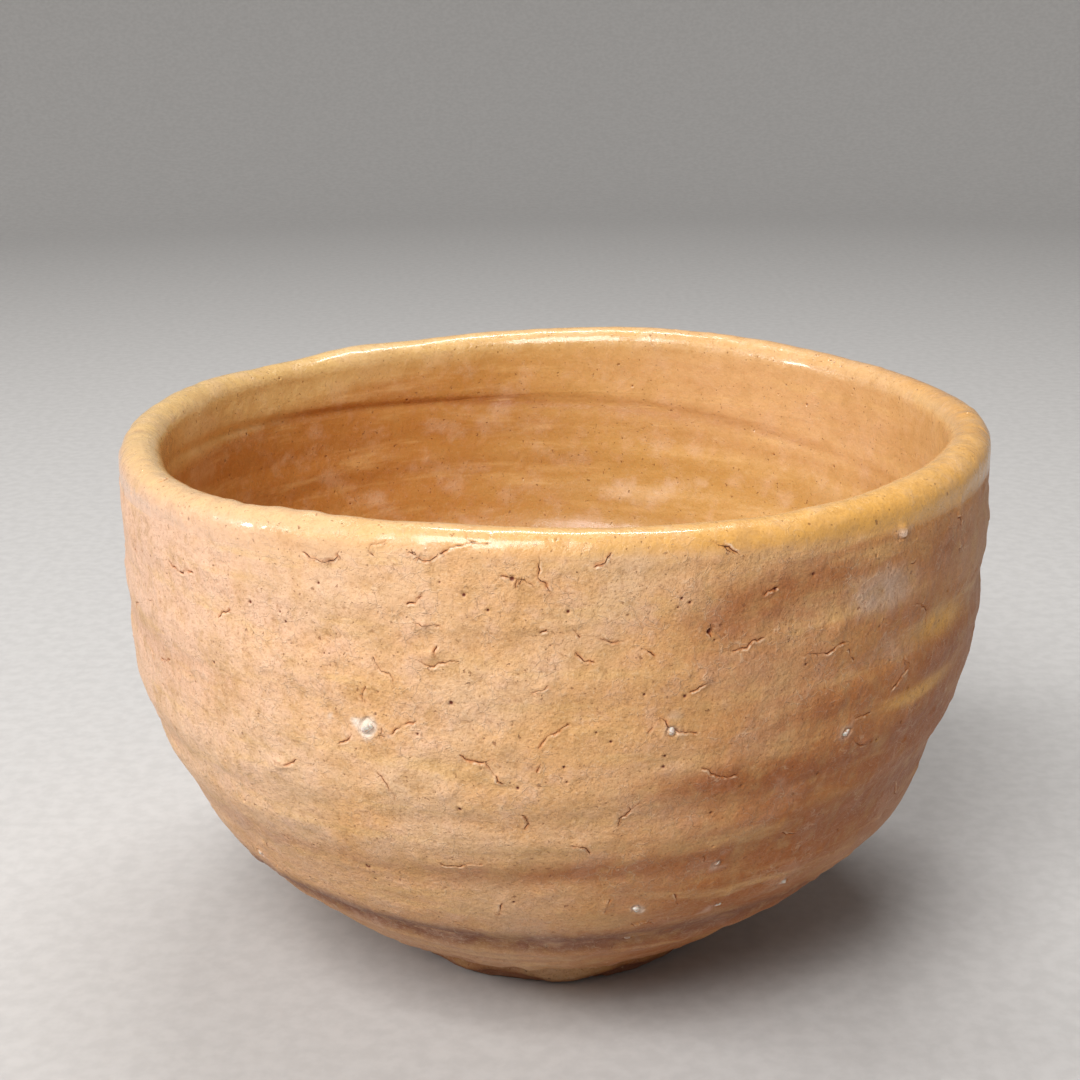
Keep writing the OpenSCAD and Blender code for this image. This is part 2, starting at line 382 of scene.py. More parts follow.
# Cracks of the outside, each a line of points: turn, height, turn, height and so on.
CRACKS = [
    [-27.6, 73.3, -25.6, 72.6, -24, 72.9, -23.2, 74.1],
    [-14.9, 74.8, -13.6, 74.0, -12.1, 74.5, -11.2, 75.2, -9.6, 75.9, -7.8, 76.2],
    [-52.4, 67.0, -50.4, 66.4, -47.2, 67.0], [-41.8, 62.7, -40.7, 63.5, -39.8, 64.1],
    [-21.2, 56.4, -21.1, 57.4, -20.7, 58.3], [-19.6, 61.9, -18.8, 60.4, -17.9, 60.3],
    [-14.6, 62.2, -13.4, 61.6, -12.7, 61.5, -11.4, 62.1, -10.1, 62.3], [-12.5, 62.8, -12.4, 63.8],
    [-15.4, 68.8, -14.6, 69.0, -13.9, 69.8], [-14.4, 66.6, -13.4, 66.4, -12.1, 66.5],
    [-5.2, 72.6, -4.1, 72.3, -2.7, 72.1, -1.9, 71.5], [4.6, 73.5, 5.6, 73.8, 6.2, 74.9],
    [-1.2, 66.0, -0.6, 66.3], [2.2, 66.3, 2.8, 65.4], [5.7, 64.8, 6.3, 64.5, 7.1, 64.7],
    [2.5, 63.5, 3.2, 62.6, 4.3, 62.4], [9.9, 63.5, 10.8, 62.7], [17.1, 65.6, 16.9, 64.7, 17.2, 64.2],
    [19.9, 62.1, 21.5, 62.2, 22.2, 63.0, 23.6, 63.1], [15.1, 57.8, 16.6, 58.6, 17.7, 58.7],
    [-2.2, 58.8, -1.5, 59.2, -0.6, 59.7], [23.7, 68.3, 25.0, 68.8], [35.6, 59.1, 35.9, 58.2, 36.6, 57.5],
    [-1.5, 52.2, -0.4, 53.7, 1.4, 54.7], [11.6, 55.0, 12.4, 54.0, 12.8, 53.2],
    [13.4, 53.3, 14.6, 52.7, 15.8, 52.5], [-24.4, 50.7, -23.0, 51.7],
    [-10.2, 50.8, -9.6, 50.3, -7.4, 50.2, -6.4, 50.5], [-7.4, 50.2, -6.9, 49.2, -6.2, 47.7, -5.6, 47.4],
    [-1.8, 49.1, -1.4, 50.1], [-3.7, 42.9, -3.2, 42.2, -3.0, 41.4, -3.5, 40.6],
    [-34.2, 46.0, -32.2, 46.1, -30.8, 47.0], [-14.2, 34.4, -11.6, 34.2, -9.2, 34.8],
    [-7.0, 28.1, -7.3, 27.2, -7.6, 26.1], [16.8, 47.8, 18.2, 46.8, 20.8, 46.2],
    [7.5, 41.9, 8.6, 42.8, 9.6, 44.0], [2.2, 38.3, 3.7, 37.9, 4.1, 37.0], [7.2, 28.2, 6.8, 26.4],
    [16.2, 28.0, 16.9, 26.4], [37.8, 46.7, 40.2, 45.3],
    [-19.7, 52.2, -17.6, 53.2, -16.4, 54.1, -15.1, 54.6], [29.4, 60.0, 34.2, 60.2],
    [20, 73.8, 18.8, 74.6, 17.2, 75.3], [-19.6, 74.6, -19.2, 75.4, -17.8, 75.9],
    [47, 62, 49, 61, 50, 58.6], [44, 52, 46, 53.4], [-58, 52.4, -55.6, 53],
]


def outer_run(turn, height):
    """The run at which the outside passes a height at a turn, with the lip's wave."""
    return run_at(height - lift(turn) * fade(height) ** 2)


def wandering(path, rng):
    """A path of [turn, run] points, broken up into short crooked steps."""
    path = np.array(path, float)
    first, last = 0.22 * (path[0] - path[1]), 0.22 * (path[-1] - path[-2])
    path = np.concatenate([[path[0] + first], path, [path[-1] + last]])
    for _ in range(3):
        span = np.diff(path, axis=0)
        width = np.hypot(span[:, 0], span[:, 1])
        middle = (path[:-1] + path[1:]) / 2 + rng.uniform(-0.17, 0.17, span.shape) * width[:, None]
        longer = np.empty((len(path) + len(middle), 2))
        longer[::2] = path
        longer[1::2] = middle
        path = longer
    return path


def laid(path):
    """A crack's points in space, and the mean normal of the surface along it."""
    turn, run = path.T
    return place(turn, run, 0), normal_at(turn, run).mean(0)


def hand_cracks(rng):
    """The cracks above as crooked paths with their strengths, some with a side crack."""
    for path in CRACKS:
        turn, height = np.array(path, float).reshape(-1, 2).T
        crooked = wandering(np.stack([turn, outer_run(turn, height)], 1), rng)
        yield crooked, rng.uniform(0.8, 1.15)
        if len(turn) > 2:
            for at in rng.integers(3, len(crooked) - 3, rng.integers(0, 3)):
                yield side_crack(crooked[at], rng.uniform(0.5, 1.2), rng), rng.uniform(0.4, 0.7)


def side_crack(start, length, rng):
    """A short crack from a point, in a random direction."""
    angle = rng.uniform(0, 360)
    steps = [start]
    for _ in range(2):
        angle += rng.uniform(-50, 50)
        steps.append(steps[-1] + length / 2 * np.array([cos(angle), sin(angle)]))
    return wandering(steps, rng)


def scattered_cracks(count, low_run, high_run, first, last, rng):
    for _ in range(count):
        start = np.array([rng.uniform(first, last), rng.uniform(low_run, high_run)])
        angle = rng.normal(0, 35) + 180 * rng.integers(0, 2)
        steps = [start]
        for _ in range(rng.integers(1, 5)):
            angle += rng.normal(0, 38)
            steps.append(steps[-1] + rng.uniform(0.6, 1.6) * np.array([cos(angle), sin(angle)]))
        crooked = wandering(steps, rng)
        yield crooked, rng.uniform(0.25, 0.9)
        if rng.random() < 0.45:
            yield side_crack(crooked[len(crooked) // 2], rng.uniform(0.5, 1.4), rng), 0.45


def all_cracks():
    rng = np.random.default_rng(SEED + 1)
    found = list(hand_cracks(rng))
    wall_low, wall_high = run_at(22.0), run_at(75.0)
    found += list(scattered_cracks(110, wall_low, wall_high, 46, 308, rng))
    found += list(scattered_cracks(8, wall_low, wall_high, -60, 46, rng))
    found += list(scattered_cracks(18, LIP_RUN + 8, END - 20, 0, 360, rng))
    found += list(scattered_cracks(8, LIP_RUN - 3, LIP_RUN + 3, 0, 360, rng))
    return [(*laid(path), power) for path, power in found]


def all_holes():
    """Every pinhole and dimple as a point and a radius."""
    rng = np.random.default_rng(SEED + 2)
    turns = [row[0] for row in HOLES]
    runs = [outer_run(row[0], row[1]) for row in HOLES]
    sizes = [row[2] for row in HOLES]
    for low, high, count in [(run_at(14.0), LIP_RUN, 330), (LIP_RUN, END - 8, 240)]:
        turns += list(rng.uniform(0, 360, count))
        runs += list(rng.uniform(low, high, count))
        sizes += list(rng.uniform(0.09, 0.2, count))
    return place(np.array(turns), np.array(runs), 0), np.array(sizes)


class Shelf:
    """Points sorted by height, so that those inside a small box are found quickly."""

    def __init__(self, points):
        self.points = points
        self.order = np.argsort(points[:, 2])
        self.heights = points[self.order, 2]

    def inside(self, low, high):
        first, last = np.searchsorted(self.heights, [low[2], high[2]])
        near = self.order[first:last]
        spots = self.points[near]
        return near[((spots > low) & (spots < high)).all(1)]

    def around(self, spot, reach):
        """The points in a box round a spot, and how far each is from it."""
        near = self.inside(spot - reach, spot + reach)
        return near, np.linalg.norm(self.points[near] - spot, axis=1)


def crack_field(points):
    """Signed distance to the nearest crack, and the crack's strength, at each point."""
    near = np.full(len(points), CRACK_REACH)
    power = np.zeros(len(points))
    shelf = Shelf(points)
    for line, up, strength in cracks:
        pick = shelf.inside(line.min(0) - CRACK_REACH, line.max(0) + CRACK_REACH)
        if not len(pick):
            continue
        start, step = line[:-1], np.diff(line, axis=0)
        away = points[pick][:, None] - start
        along = np.clip((away * step).sum(-1) / (step * step).sum(-1), 0, 1)
        off = away - along[..., None] * step
        far = np.sqrt((off * off).sum(-1))
        nearest = far.argmin(1)
        row = np.arange(len(pick))
        side = np.sign((np.cross(step[nearest], up) * off[row, nearest]).sum(-1) + 1e-12)
        share = (nearest + along[row, nearest]) / len(step)
        taper = np.clip(5.5 * share * (1 - share), 0, 1) ** 1.3
        reach = far[row, nearest]
        better = reach < np.abs(near[pick])
        near[pick[better]] = (side * reach)[better]
        power[pick[better]] = (strength * taper)[better]
    return near, power


def hole_field(points):
    """Depth share of the pinholes, 1 in the middle of a hole, and the share of their rims."""
    depth = np.zeros(len(points))
    rim = np.zeros(len(points))
    shelf = Shelf(points)
    for spot, radius in zip(*holes):
        pick, far = shelf.around(spot, 5 * radius)
        depth[pick] = np.maximum(depth[pick], hump(far, 0, radius) * min(1, radius / 0.2))
        rim[pick] = np.maximum(rim[pick], hump(far, 2 * radius, radius))
    return depth, rim


def mound_field(points):
    """The rise of lumps and of the glaze round the stones, and the share of stone nearby."""
    rise = np.zeros(len(points))
    halo = np.zeros(len(points))
    shelf = Shelf(points)
    for spot, height, radius in mounds:
        pick, far = shelf.around(spot, 3 * radius)
        rise[pick] += height * hump(far, 0, radius)
    for spot, length, bare in stone_spots:
        pick, far = shelf.around(spot, 3 * length)
        ragged = far * (1 + 0.5 * noise(points[pick], 0.6, 65))
        rise[pick] += 0.2 * hump(far, 0, length * 0.95) - 0.3 * hump(ragged, 0.45 * length, 0.14 * length)
        splash = far * (1 + 0.8 * noise(points[pick], 1.4, 92))
        halo[pick] = np.maximum(halo[pick], bare * hump(splash, 0.35 * length, 0.3 * length))
    return rise, halo


def outside_spot(turn, height):
    """A turn and a run of the outside, each as a list of one."""
    turn, height = np.array([turn], float), np.array([height], float)
    return turn, outer_run(turn, height)


def outside_point(turn, height):
    return place(*outside_spot(turn, height), 0)[0]


cracks = all_cracks()
holes = all_holes()
mounds = [(outside_point(*row[:2]), *row[2:]) for row in LUMPS]
stone_spots = [(outside_point(*row[:2]), *row[2:]) for row in STONES]


# ---------------------------------------------------------------- sheets of cells

def cells(columns, rows, closed, dense, split):
    """Faces of a sheet wound round the axis, with the dense cells split into smaller ones.

    Returns the turn share and the row of each vertex, and the faces. The neighbours of a dense
    cell take the extra vertices on their shared side, so the sheet has no gaps.
    """
    across = columns * split
    down = rows * split
    wrap_rows = down if closed else down + 1

    def key(i, j):
        return (j % wrap_rows if closed else j) * across + i % across

    i, j = np.meshgrid(np.arange(columns), np.arange(rows))
    i, j = i.ravel(), j.ravel()
    fine = dense[j, i]
    busy = dense.copy()
    busy |= np.roll(dense, 1, 1) | np.roll(dense, -1, 1)
    busy[1:] |= dense[:-1]
    busy[:-1] |= dense[1:]
    plain = ~busy[j, i]
    corner = split * np.array([[0, 0], [1, 0], [1, 1], [0, 1]])
    quads = [np.stack([key(i[plain] * split + a, j[plain] * split + b) for a, b in corner], 1)]
    for a in range(split):
        for b in range(split):
            start_i, start_j = i[fine] * split + a, j[fine] * split + b
            quads.append(np.stack([key(start_i + p, start_j + q) for p, q in corner // split], 1))
    quads = np.concatenate(quads)
    mixed = []
    for ci, cj in zip(i[busy[j, i] & ~fine], j[busy[j, i] & ~fine]):
        x, y = ci * split, cj * split
        loop = []
        sides = [
            (cj > 0 and dense[cj - 1, ci], x, y, 1, 0),
            (dense[cj, (ci + 1) % columns], x + split, y, 0, 1),
            (cj < rows - 1 and dense[cj + 1, ci], x + split, y + split, -1, 0),
            (dense[cj, ci - 1], x, y + split, 0, -1),
        ]
        for crowded, sx, sy, dx, dy in sides:
            count = split if crowded else 1
            loop += [key(sx + dx * n, sy + dy * n) for n in range(count)]
        mixed.append(loop)
    used = np.unique(np.concatenate([quads.ravel(), np.array(sum(mixed, []), int)]))
    quads = np.searchsorted(used, quads)
    faces = quads.tolist() + [np.searchsorted(used, loop).tolist() for loop in mixed]
    return (used % across) / across, (used // across) / split, faces


def caps(turn, row, *ends):
    """A face over each end row of a sheet."""
    rings = [np.flatnonzero(row == end) for end in ends]
    return [ring[np.argsort(turn[ring])].tolist() for ring in rings]


def put(name, data):
    """A new object of the scene."""
    thing = bpy.data.objects.new(name, data)
    bpy.context.scene.collection.objects.link(thing)
    return thing


def make_mesh(name, points, faces, fields, hidden=None):
    """A mesh in metres from points in millimetres, with one float attribute for each field.

    Faces with a hidden vertex are shaded flat, so that they don't bend the shading of a border.
    """
    mesh = bpy.data.meshes.new(name)
    mesh.from_pydata((points * MM).tolist(), [], faces)
    for label, values in fields.items():
        layer = mesh.attributes.new(label, "FLOAT", "POINT")
        layer.data.foreach_set("value", np.asarray(values, np.float32))
    build = bmesh.new()
    build.from_mesh(mesh)
    bmesh.ops.recalc_face_normals(build, faces=build.faces)
    if build.calc_volume(signed=True) < 0:
        bmesh.ops.reverse_faces(build, faces=build.faces)
    build.to_mesh(mesh)
    build.free()
    shown = [True] * len(faces)
    if hidden is not None:
        shown = [not any(hidden[v] for v in face) for face in faces]
    mesh.polygons.foreach_set("use_smooth", shown)
    return put(name, mesh)


def finish_piece(piece, material, slot, *nodes):
    piece.data.materials.append(material)
    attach(piece, "root")
    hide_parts(*nodes)


# ---------------------------------------------------------------- colour regions of the glaze

# Soft patches: [turn, height, half turn, half height, strength].
GREY_CLOUDS = [
    [41, 65, 7, 3.5, 0.8], [44, 57, 9, 3, 0.4], [24, 48.8, 4, 1.4, 0.3], [-46, 31, 14, 5, 0.45],
    [13, 48.5, 3, 2, 0.35], [120, 62, 16, 5, 0.7], [-95, 40, 12, 7, 0.5], [170, 35, 18, 8, 0.55],
    [-150, 66, 14, 4, 0.5],
]
BROWN_PATCHES = [
    [54, 67, 9, 3.4, 0.7], [30, 68.8, 11, 3, 0.6], [29, 44.5, 15, 3, 0.75], [34, 52, 9, 2.6, 0.6],
    [45, 61.5, 9, 2.4, 0.6], [55, 53.2, 9, 1.9, 0.8], [17, 46, 12, 2.4, 0.45], [22, 60, 12, 7, 0.35],
    [44, 34, 18, 9, 0.5], [52, 45, 9, 2, 0.6], [20, 66, 8, 4, 0.4], [6, 34, 18, 2, 0.35],
    [-28, 39, 16, 2, 0.35], [-16, 62.5, 20, 1.3, 0.25], [100, 30, 30, 12, 0.6], [-170, 48, 25, 5, 0.4],
    [60, 45, 14, 10, 0.35], [75, 60, 18, 10, 0.4],
]
YELLOW_PATCHES = [
    [54, 57.5, 9, 2.0, 0.95], [50, 49.5, 11, 1.5, 0.8], [38, 39, 10, 1.6, 0.4], [57, 30, 12, 3.0, 0.2],
    [22, 62, 8, 1.2, 0.3], [8, 50, 12, 1.2, 0.35], [-35, 56, 12, 1.5, 0.25], [-20, 59.5, 16, 1.4, 0.3],
    [130, 52, 20, 2.5, 0.5], [-120, 45, 20, 2, 0.4], [200, 55, 25, 2, 0.4],
]
CLOUDS_INSIDE = [
    [162, 50, 11, 3, 0.45], [151, 53.5, 6, 2, 0.35], [-160, 55, 10, 3, 0.35], [20, 40, 14, 6, 0.5],
]
# The masks that glaze_fields fills, in its order.
COLOUR_MASKS = [
    "ochre", "gloss", "grey", "cream", "brown_and_shade", "pink_and_painted_light", "warm", "inside", "relief", "purple_and_shade", "shade_and_browning",
    "straw",
]


def patches(rows, turn, z):
    total = np.zeros(len(turn))
    for middle, height, half_turn, half, strength in rows:
        total += strength * towards(turn, middle, half_turn) * hump(z, height, half)
    return total


def glaze_fields(turn, run, points, relief):
    """The masks that the glaze material mixes its colours by."""
    z = points[:, 2]
    inside = smooth(LIP_RUN - 1, LIP_RUN + 5, run)
    outside = 1 - inside
    gloss = smooth(-1.0, 1.5, run - lap_out(turn)) * smooth(-1.5, 2.5, lap_in(turn) - run)
    gloss += 0.7 * towards(turn, WET_TURN, 15) * hump(z, 70.5, 2) * (1 - gloss) * outside
    ochre = smooth(-1.6, 1.8, run - lap_out(turn)) * (1 - smooth(LIP_RUN, LIP_RUN + 5, run))
    ochre *= 0.3 + 0.7 * towards(turn, 48, 52)
    ochre += patches(YELLOW_PATCHES, turn, z) * outside
    straw = smooth(LIP_RUN - 5, LIP_RUN - 1, run) * smooth(2, -3, run - lap_in(turn))
    straw *= 0.35 + 0.65 * towards(turn, -115, 70)
    straw *= smooth(9, 3, run - LIP_RUN - 7 * towards(turn, -105, 36))
    grey = patches(GREY_CLOUDS, turn, z) * outside
    cream = patches(CLOUDS_INSIDE, turn, z) * inside
    brown_and_shade = patches(BROWN_PATCHES, turn, z) * outside
    # A dark band over the foot: glaze pooled in the trimmed groove, with painted shade there too.
    groove = 1.5 * hump(z, low_groove(turn) + 1.1, 3.0) + 0.45 * hump(z, 12.4, 0.8)
    groove += 0.35 * hump(z, low_groove(turn) - 3.0, 0.35)
    purple_and_shade = groove * outside * (0.8 + 0.4 * round_noise(turn, 7, 69))
    brown_and_shade += 0.35 * hump(z - ring_drift(turn), 33.5, 2.5) * outside
    brown_and_shade += 0.6 * smooth(15, 8, z) * (1 - 0.8 * towards(turn, 3, 14)) * outside
    # A painted shadow line along the groove under the lip on the inside.
    brown_and_shade += 0.5 * hump(z, inner_groove(turn), 1.1) * inside * towards(turn, 188, 75)
    pink_and_painted_light = towards(turn, -70, 52) * outside * (0.45 + 0.55 * smooth(30, 65, z))
    # Inside, a peach tone above the groove on the right wall, partly a painted pool of light.
    pink_and_painted_light += 0.9 * inside * smooth(-16, 6, z - inner_groove(turn)) * towards(turn, 132, 52)
    warm = towards(turn, 70, 62) * outside + inside * towards(turn, -120, 75)
    # Painted shade: browner towards the right side and towards the bottom, partly a real browner glaze.
    shade_and_browning = smooth(-10, 44, turned(turn, 0)) * smooth(190, 120, turned(turn, -20) % 360)
    shade_and_browning = shade_and_browning * (1 - 0.5 * smooth(34, 66, z)) + 0.5 * (1 - smooth(14, 50, z))
    shade_and_browning = np.clip(shade_and_browning, 0, 1.25) * outside
    masks = [ochre, gloss, grey, cream, brown_and_shade, pink_and_painted_light, warm, inside, relief, purple_and_shade, shade_and_browning, straw]
    return dict(zip(COLOUR_MASKS, masks))


def glaze_skin(name, columns, runs_from, runs_to, step, pole=False):
    """A glaze layer between two edges of the section, fine in front and plain behind."""
    turn_probe = np.linspace(0, 360, 60)
    length = np.mean(runs_to(turn_probe) - runs_from(turn_probe))
    front = int(round(length / step)) + 2
    back = 12
    hem = BORDER / length
    shown = np.concatenate([[0], np.linspace(hem, 1 - hem, front - 1), [1]])
    share = np.concatenate([shown, np.linspace(1, 0, back + 1)])
    depth = np.concatenate([np.zeros(front + 1), np.full(back + 1, BACK)])
    count = len(share) if not pole else len(share) - 1

    def spot(u, row):
        turn = u * 360
        at = np.interp(row, np.arange(len(share) + 1), np.append(share, share[0]))
        sunk = np.interp(row, np.arange(len(share) + 1), np.append(depth, depth[0]))
        return turn, runs_from(turn) + (runs_to(turn) - runs_from(turn)) * at, sunk

    u, row = np.meshgrid((np.arange(columns) + 0.5) / columns, np.arange(count) + 0.5)
    turn, run, _ = spot(u.ravel(), row.ravel())
    middle = place(turn, run, 0)
    near, power = crack_field(middle)
    holed, rim = hole_field(middle)
    wanted = ((np.abs(near) < CRACK_BAND) & (power > 0.05)) | (holed > 0.02) | (rim > 0.3)
    for place_of_stone, size, _ in stone_spots:
        wanted |= np.linalg.norm(middle - place_of_stone, axis=1) < size
    dense = wanted.reshape(u.shape)
    dense[:2] = False
    dense[front - 2:] = False
    u, row, faces = cells(columns, count, not pole, dense, SPLIT)
    turn, run, sunk = spot(u, row)
    flat = place(turn, run, 0)
    relief = body_relief(turn, run)
    near, power = crack_field(flat)
    holed, rim = hole_field(flat)
    mound, halo = mound_field(flat)
    power *= smooth(CRACK_BAND, 0.4, np.abs(near))
    off = np.abs(near)
    edge = 0.04 + 0.04 * np.sign(near)
    open_share = smooth(-0.4, 0.4, noise(flat, 0.8, 68))
    power *= 0.25 + 0.75 * open_share
    cut = power * (edge * hump(off, 0.3, 0.2) - CRACK_DEPTH * hump(off, 0, CRACK_HALF))
    out = relief + mound + cut - HOLE_DEPTH * holed + 0.04 * rim
    hidden = sunk > 0
    points = place(turn, run, np.where(hidden, -sunk, out))
    fields = glaze_fields(turn, run, points, relief)
    fields.update({"crack_side": np.clip(near, -1, 1), "crack_power": np.where(hidden, 0, power),
                   "rust": power * hump(off, 0, 0.2), "hole": holed, "halo": halo})
    if pole:
        faces += caps(u, row, front, front + 1)
    return make_mesh(name, points, faces, fields, hidden)


# ---------------------------------------------------------------- the glaze layers

def ledge_edge(turn):
    return np.zeros_like(turn)


def middle_edge(turn):
    return np.full_like(turn, END - 0.5)


outer_skin = glaze_skin("outer_glaze_skin", 720, ledge_edge, lap_out, 0.55)
lip_skin = glaze_skin("lip_glaze_skin", 720, lap_out, lap_in, 0.4)
inner_skin = glaze_skin("inner_glaze_skin", 640, lap_in, middle_edge, 0.75, pole=True)


# ---------------------------------------------------------------- clay

def sheet_between(columns, rows, closed):
    """A plain sheet of cells, as turns, rows and faces."""
    u, row, faces = cells(columns, rows, closed, np.zeros((rows, columns), bool), 1)
    return u * 360, row, faces


# How far the clay lies under the glaze's finished surface.
UNDER_GLAZE = 0.8
# Distance between the marks of the trimming tool in the foot well.
TRIM_PITCH = 2.3


def clay_body():
    """The thrown clay, with the trimmed underside of its floor inside the foot."""
    under = np.linspace(-LEDGE_R + 0.5, 0, 76)
    wall = np.linspace(0, END - 0.5, 190)[1:]
    runs = np.concatenate([under, wall])
    turn, row, faces = sheet_between(300, len(runs) - 1, False)
    run = np.interp(row, np.arange(len(runs)), runs)
    below = run <= 0
    up_run = np.maximum(run, 0)
    points = place(turn, up_run, np.where(below, 0, body_relief(turn, up_run) - UNDER_GLAZE))
    radius = LEDGE_R + run[below]
    flat = around(turn[below], radius, np.full_like(radius, FOOT_H))
    well = 1 - smooth(15.4, 17.2, radius)
    spiral = sin(360 * radius / TRIM_PITCH - turn[below])
    marks = 0.17 * spiral + 0.12 * noise(flat, 2.4, 70) + 0.2 * noise(flat, 7, 71)
    flat[:, 2] += well * (marks + 0.35 * smooth(3, 14, radius) - 1.1 * hump(radius, 0, 2.8))
    points[below] = flat
    faces += caps(turn, row, 0, len(runs) - 1)
    scrape = np.zeros(len(turn))
    scrape[below] = well * spiral
    return make_mesh("clay_body_fired", points, faces, {"scrape": scrape})


def foot_radius(z):
    return FOOT_TOP_R - FOOT_FLARE * (FOOT_H - z) / FOOT_H


def foot_ring():
    """The ring foot, trimmed with a tool and softened at its standing edge."""
    soft = 0.9
    bend = np.linspace(0, 90, 9)
    outer = foot_radius(0.0)
    well = outer - FOOT_FACE
    wall = np.linspace(soft, FOOT_H, 22)
    r = [np.linspace(well + soft, outer - soft, 22), outer - soft + soft * sin(bend)]
    z = [np.zeros(22), soft - soft * cos(bend)]
    r += [outer + FOOT_FLARE * wall / FOOT_H, np.linspace(FOOT_TOP_R, well - FOOT_FLARE, 14)]
    z += [wall, np.full(14, FOOT_H)]
    r += [well - FOOT_FLARE * wall[::-1] / FOOT_H, well + soft - soft * cos(bend)]
    z += [wall[::-1], soft - soft * sin(bend)]
    r, z = np.concatenate(r), np.concatenate(z)
    fresh = np.hypot(r - np.roll(r, 1), z - np.roll(z, 1)) > 1e-6
    r, z = r[fresh], z[fresh]
    turn, row, faces = sheet_between(420, len(r), True)
    row = row.astype(int)
    slope = np.stack([np.roll(r, -1) - np.roll(r, 1), np.roll(z, -1) - np.roll(z, 1)], 1)
    slope /= np.linalg.norm(slope, axis=1)[:, None]
    normal = np.stack([slope[:, 1], -slope[:, 0]], 1)[row]
    radius, height = r[row], z[row]
    base = around(turn, radius, height)
    free = 1 - smooth(FOOT_H - 1, FOOT_H - 0.2, height)
    out = 0.2 * noise(base, 5, 72) + 0.13 * noise(base, 1.9, 73) + 0.06 * noise(base, 0.9, 74)
    out += 0.12 * noise(base * [0.3, 0.3, 1], 1.0, 75) - 0.1
    chips = smooth(0.55, 0.9, noise(base, 3.1, 76)) * (1 - smooth(0.6, 2.4, height))
    out -= 0.5 * chips
    radius = radius + out * free * normal[:, 0]
    height = height + out * free * normal[:, 1]
    standing = (z[row] == 0) & (noise(base, 2.2, 77) > -0.35)
    height = np.where(standing, 0, np.maximum(height, 0.02))
    points = around(turn, radius, height)
    return make_mesh("foot_ring_fired", points, faces, {"scrape": chips})


def foot_glaze():
    """Glaze that ran over the foot, in a coat with a rolled and ragged lower edge."""
    front, back = 26, 8
    share = np.concatenate([np.linspace(0, 1, front + 1), np.linspace(1, 0, back + 1)])
    hidden = np.arange(len(share)) > front
    turn, row, faces = sheet_between(560, len(share), True)
    row = row.astype(int)
    ragged = 0.6 * round_noise(turn, 9, 80) + 0.35 * round_noise(turn, 34, 81)
    ragged += 0.15 * round_noise(turn, 90, 82)
    run_drop = towards(turn, 2, 11) + 0.6 * towards(turn, -31, 6)
    edge = np.maximum(FOOT_BARE - 0.1 + 0.8 * ragged - 1.5 * run_drop, 0.25)
    t = share[row]
    height = FOOT_H - (FOOT_H - edge) * t
    coat = 0.6 * np.clip(1 - t ** 9, 0, 1) ** 0.5 * (1 + 0.25 * hump(t, 0.82, 0.14))
    coat += 0.55 * np.exp(-(FOOT_H - height) / 0.9)
    base = around(turn, foot_radius(height), height)
    coat += (0.14 * noise(base, 2.3, 83) + 0.06 * noise(base, 1.0, 84)) * (1 - t ** 4)
    coat = np.where(hidden[row], -0.25, np.maximum(coat, 0.05))
    radius = foot_radius(height) + coat
    points = around(turn, radius, height)
    fields = dict.fromkeys(COLOUR_MASKS + ["crack_power", "rust", "hole", "halo"], np.zeros(len(turn)))
    fields["brown_and_shade"] = 0.65 - 0.4 * towards(turn, 3, 12) + 0.4 * smooth(0.8, 1, t)
    fields["warm"] = 0.6 * towards(turn, 40, 62)
    # Painted shade on the right of the foot glaze.
    fields["shade_and_browning"] = 0.4 * smooth(-20, 50, turned(turn, 0))
    fields["crack_side"] = np.ones(len(turn))
    return make_mesh("foot_glaze_skin", points, faces, fields, hidden[row])


clay = clay_body()
foot = foot_ring()
run_down = foot_glaze()


# ---------------------------------------------------------------- stones

def pebbles():
    """Broken quartz and feldspar grains, each rooted in the clay and proud of the glaze."""
    rng = np.random.default_rng(SEED + 3)
    points, faces = [], []
    for index, (turn, height, length, bare) in enumerate(STONES):
        build = bmesh.new()
        bmesh.ops.create_icosphere(build, subdivisions=4, radius=1)
        ball = np.array([v.co for v in build.verts])
        tris = np.array([[v.index for v in f.verts] for f in build.faces])
        build.free()
        # Flat breaks: every point beyond a plane is pressed back to it.
        for _ in range(9):
            face = rng.normal(size=3)
            face /= np.linalg.norm(face)
            over = ball @ face - rng.uniform(0.62, 0.86)
            ball -= np.maximum(over, 0)[:, None] * face
        ball *= 1 + 0.05 * noise(ball, 0.45, 90 + index)[:, None]
        turns, runs = outside_spot(turn, height)
        up = normal_at(turns, runs)[0]
        side = np.array([cos(turn), sin(turn), 0])
        tall = np.cross(up, side)
        tilt = rng.uniform(-60, 60)
        long = side * cos(tilt) + tall * sin(tilt)
        wide = np.cross(up, long)
        axes = np.stack([long * 0.46, wide * rng.uniform(0.22, 0.34), up * 0.2]) * length
        surface = place(turns, runs, body_relief(turns, runs))[0]
        centre = surface + up * 0.1 * bare * length
        faces += (tris + sum(len(p) for p in points)).tolist()
        points.append(ball @ axes + centre)
    points = np.concatenate(points)
    stain = 0.5 + 0.5 * noise(points, 0.9, 91)
    return make_mesh("feldspar_stones", points, faces, {"stain": stain})


stones = pebbles()


# ---------------------------------------------------------------- material tools

def tint(red, green, blue):
    """A linear colour from the screen values of red, green and blue, 0 to 1."""
    values = np.array([red, green, blue])
    low = values / 12.92
    high = ((values + 0.055) / 1.055) ** 2.4
    return (*np.where(values < 0.04045, low, high), 1)


